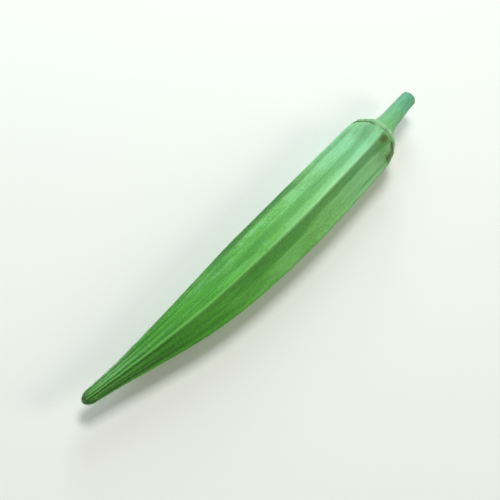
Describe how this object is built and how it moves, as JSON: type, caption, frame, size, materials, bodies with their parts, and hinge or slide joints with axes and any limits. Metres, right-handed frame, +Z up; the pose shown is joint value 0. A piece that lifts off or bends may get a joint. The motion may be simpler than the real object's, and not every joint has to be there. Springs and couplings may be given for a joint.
{
  "type": "okra pod",
  "caption": "Fresh okra pod with ridged faces, a blunt tip and a stub of stem flaring into its cap, lying on a surface.",
  "frame": {"origin": "on the surface that the pod lies on, under the middle of its box", "axes": "+X along the pod from its tip to its stem, +Z up from the surface, +Y towards the hollow side of its bow"},
  "size_m": [0.1472, 0.019, 0.016],
  "materials": {
    "pod_skin": "satin",
    "stem_skin": "satin"
  },
  "bodies": {
    "root": {"pod": "pod_skin", "stem": "stem_skin"}
  },
  "joints": []
}
